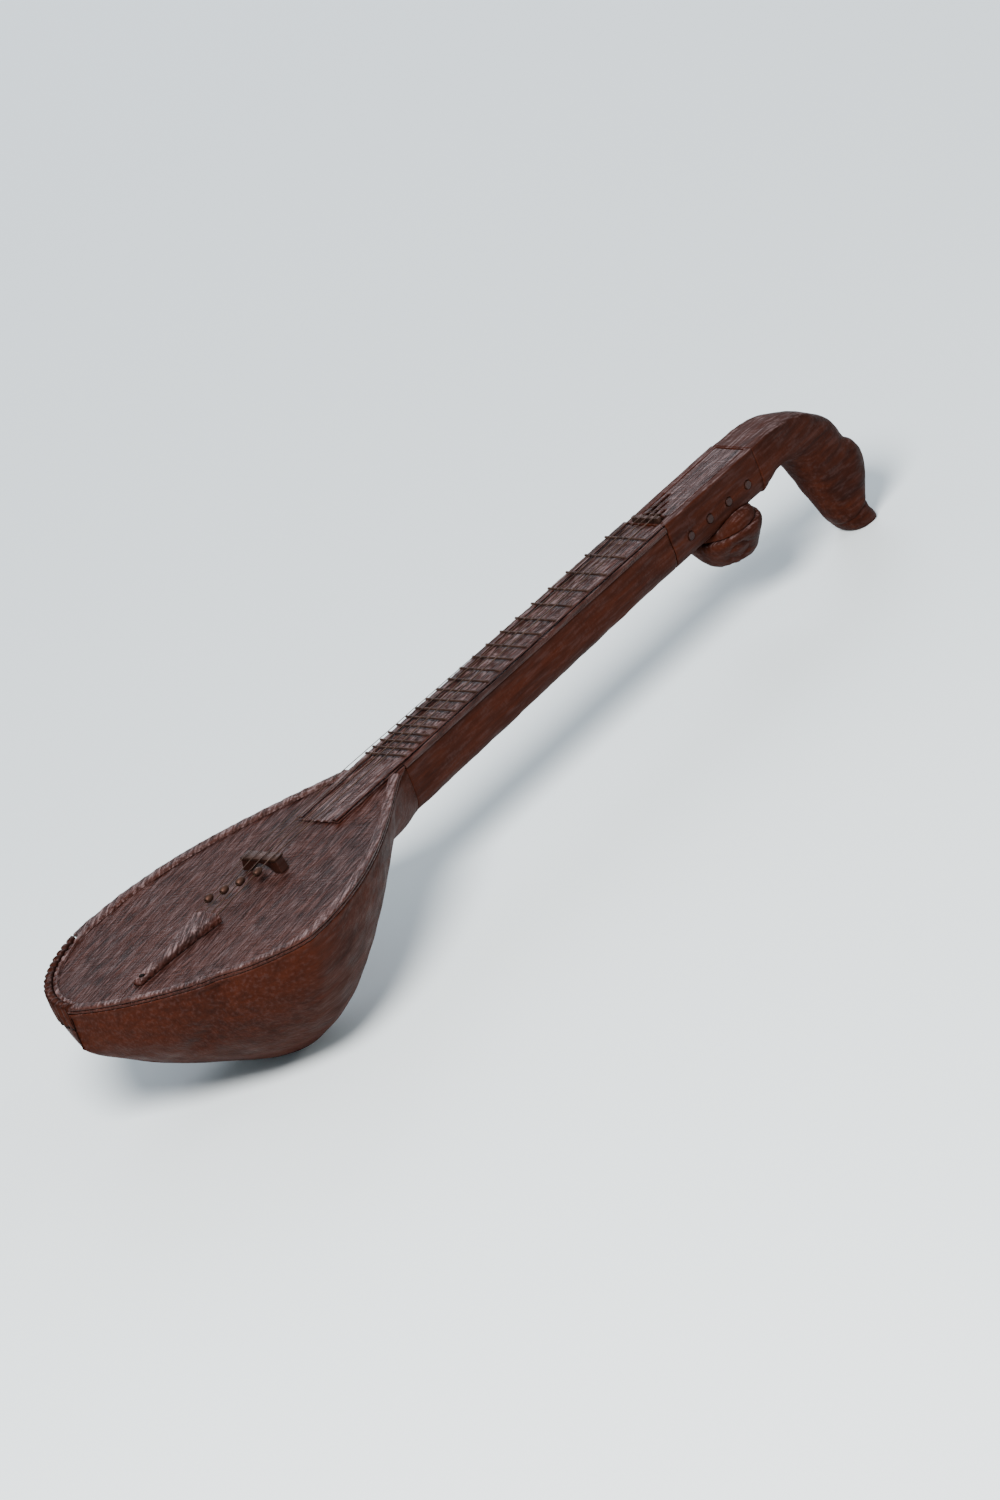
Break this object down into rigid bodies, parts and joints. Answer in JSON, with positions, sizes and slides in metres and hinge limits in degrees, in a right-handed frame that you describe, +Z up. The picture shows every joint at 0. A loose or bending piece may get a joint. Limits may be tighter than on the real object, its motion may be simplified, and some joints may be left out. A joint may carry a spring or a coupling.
{
  "type": "plucked lute",
  "caption": "Long-necked plucked lute carved from dark wood: swept pear bowl, flat soundboard, fretted hollow neck, side pegs, second gourd under the neck and a curled head.",
  "frame": {"origin": "on the surface that the instrument lies on, under the middle of its overall box", "axes": "+X along the neck from the tail to the head, +Y across towards the peg heads, +Z up out of the soundboard"},
  "size_m": [1.2, 0.3047, 0.1847],
  "materials": {
    "carved_wood": "waxed carved",
    "dark_wood": "polished",
    "inner_wood": "raw",
    "bronze": "dull aged",
    "string_bronze": "dull drawn wire"
  },
  "bodies": {
    "instrument": {"bowl": "carved_wood", "soundboard": "carved_wood", "rim_binding": "carved_wood", "tail_lip": "carved_wood", "neck": "carved_wood", "fretboard": "carved_wood", "ledge_near": "carved_wood", "ledge_far": "carved_wood", "pegbox": "carved_wood", "tailpiece": "carved_wood", "gourd_saddle": "carved_wood", "head": "carved_wood", "bridge_foot": "dark_wood", "tail_pin": "dark_wood", "upper_brace": "inner_wood", "lower_brace": "inner_wood", "tail_block": "inner_wood", "neck_block": "inner_wood", "pegbox_dowel": "inner_wood", "head_dowel": "inner_wood", "gourd_stud": "inner_wood", "fret_01": "bronze", "fret_02": "bronze", "fret_03": "bronze", "fret_04": "bronze", "fret_05": "bronze", "fret_06": "bronze", "fret_07": "bronze", "fret_08": "bronze", "fret_09": "bronze", "fret_10": "bronze", "fret_11": "bronze", "fret_12": "bronze", "fret_13": "bronze", "fret_14": "bronze", "fret_15": "bronze", "fret_16": "bronze", "fret_17": "bronze", "fret_18": "bronze", "fret_19": "bronze", "fret_20": "bronze", "nut": "bronze", "bridge_plate": "bronze", "lid_pin": "bronze", "string_1": "string_bronze", "string_2": "string_bronze", "string_3": "string_bronze", "string_4": "string_bronze"},
    "peg_1": {"peg_1": "dark_wood"},
    "peg_2": {"peg_2": "dark_wood"},
    "peg_3": {"peg_3": "dark_wood"},
    "peg_4": {"peg_4": "dark_wood"},
    "bead_1": {"bead_1": "bronze"},
    "bead_2": {"bead_2": "bronze"},
    "bead_3": {"bead_3": "bronze"},
    "bead_4": {"bead_4": "bronze"},
    "pegbox_lid": {"pegbox_lid": "carved_wood"},
    "second_gourd": {"second_gourd": "carved_wood"}
  },
  "joints": [
    {"name": "peg_1_turn", "type": "hinge", "parent": "instrument", "child": "peg_1", "pos_m": [0.328, 0, 0.138], "axis": [0, 1, 0], "continuous": true},
    {"name": "peg_2_turn", "type": "hinge", "parent": "instrument", "child": "peg_2", "pos_m": [0.36, 0, 0.138], "axis": [0, 1, 0], "continuous": true},
    {"name": "peg_3_turn", "type": "hinge", "parent": "instrument", "child": "peg_3", "pos_m": [0.392, 0, 0.138], "axis": [0, 1, 0], "continuous": true},
    {"name": "peg_4_turn", "type": "hinge", "parent": "instrument", "child": "peg_4", "pos_m": [0.424, 0, 0.138], "axis": [0, 1, 0], "continuous": true},
    {"name": "pegbox_lid_hinge", "type": "hinge", "parent": "instrument", "child": "pegbox_lid", "pos_m": [0.4415, 0, 0.1656], "axis": [0, 1, 0], "range_deg": [0, 95]},
    {"name": "bead_1_slide", "type": "slide", "parent": "instrument", "child": "bead_1", "axis": [0.9936, -0.034, 0.1076], "range_m": [-0.008, 0.008]},
    {"name": "bead_2_slide", "type": "slide", "parent": "instrument", "child": "bead_2", "axis": [0.9941, -0.0113, 0.1077], "range_m": [-0.008, 0.008]},
    {"name": "bead_3_slide", "type": "slide", "parent": "instrument", "child": "bead_3", "axis": [0.9941, 0.0113, 0.1077], "range_m": [-0.008, 0.008]},
    {"name": "bead_4_slide", "type": "slide", "parent": "instrument", "child": "bead_4", "axis": [0.9936, 0.034, 0.1076], "range_m": [-0.008, 0.008]},
    {"name": "second_gourd_turn", "type": "hinge", "parent": "instrument", "child": "second_gourd", "pos_m": [0.394, 0, 0.1], "axis": [0, 0, 1], "continuous": true}
  ]
}
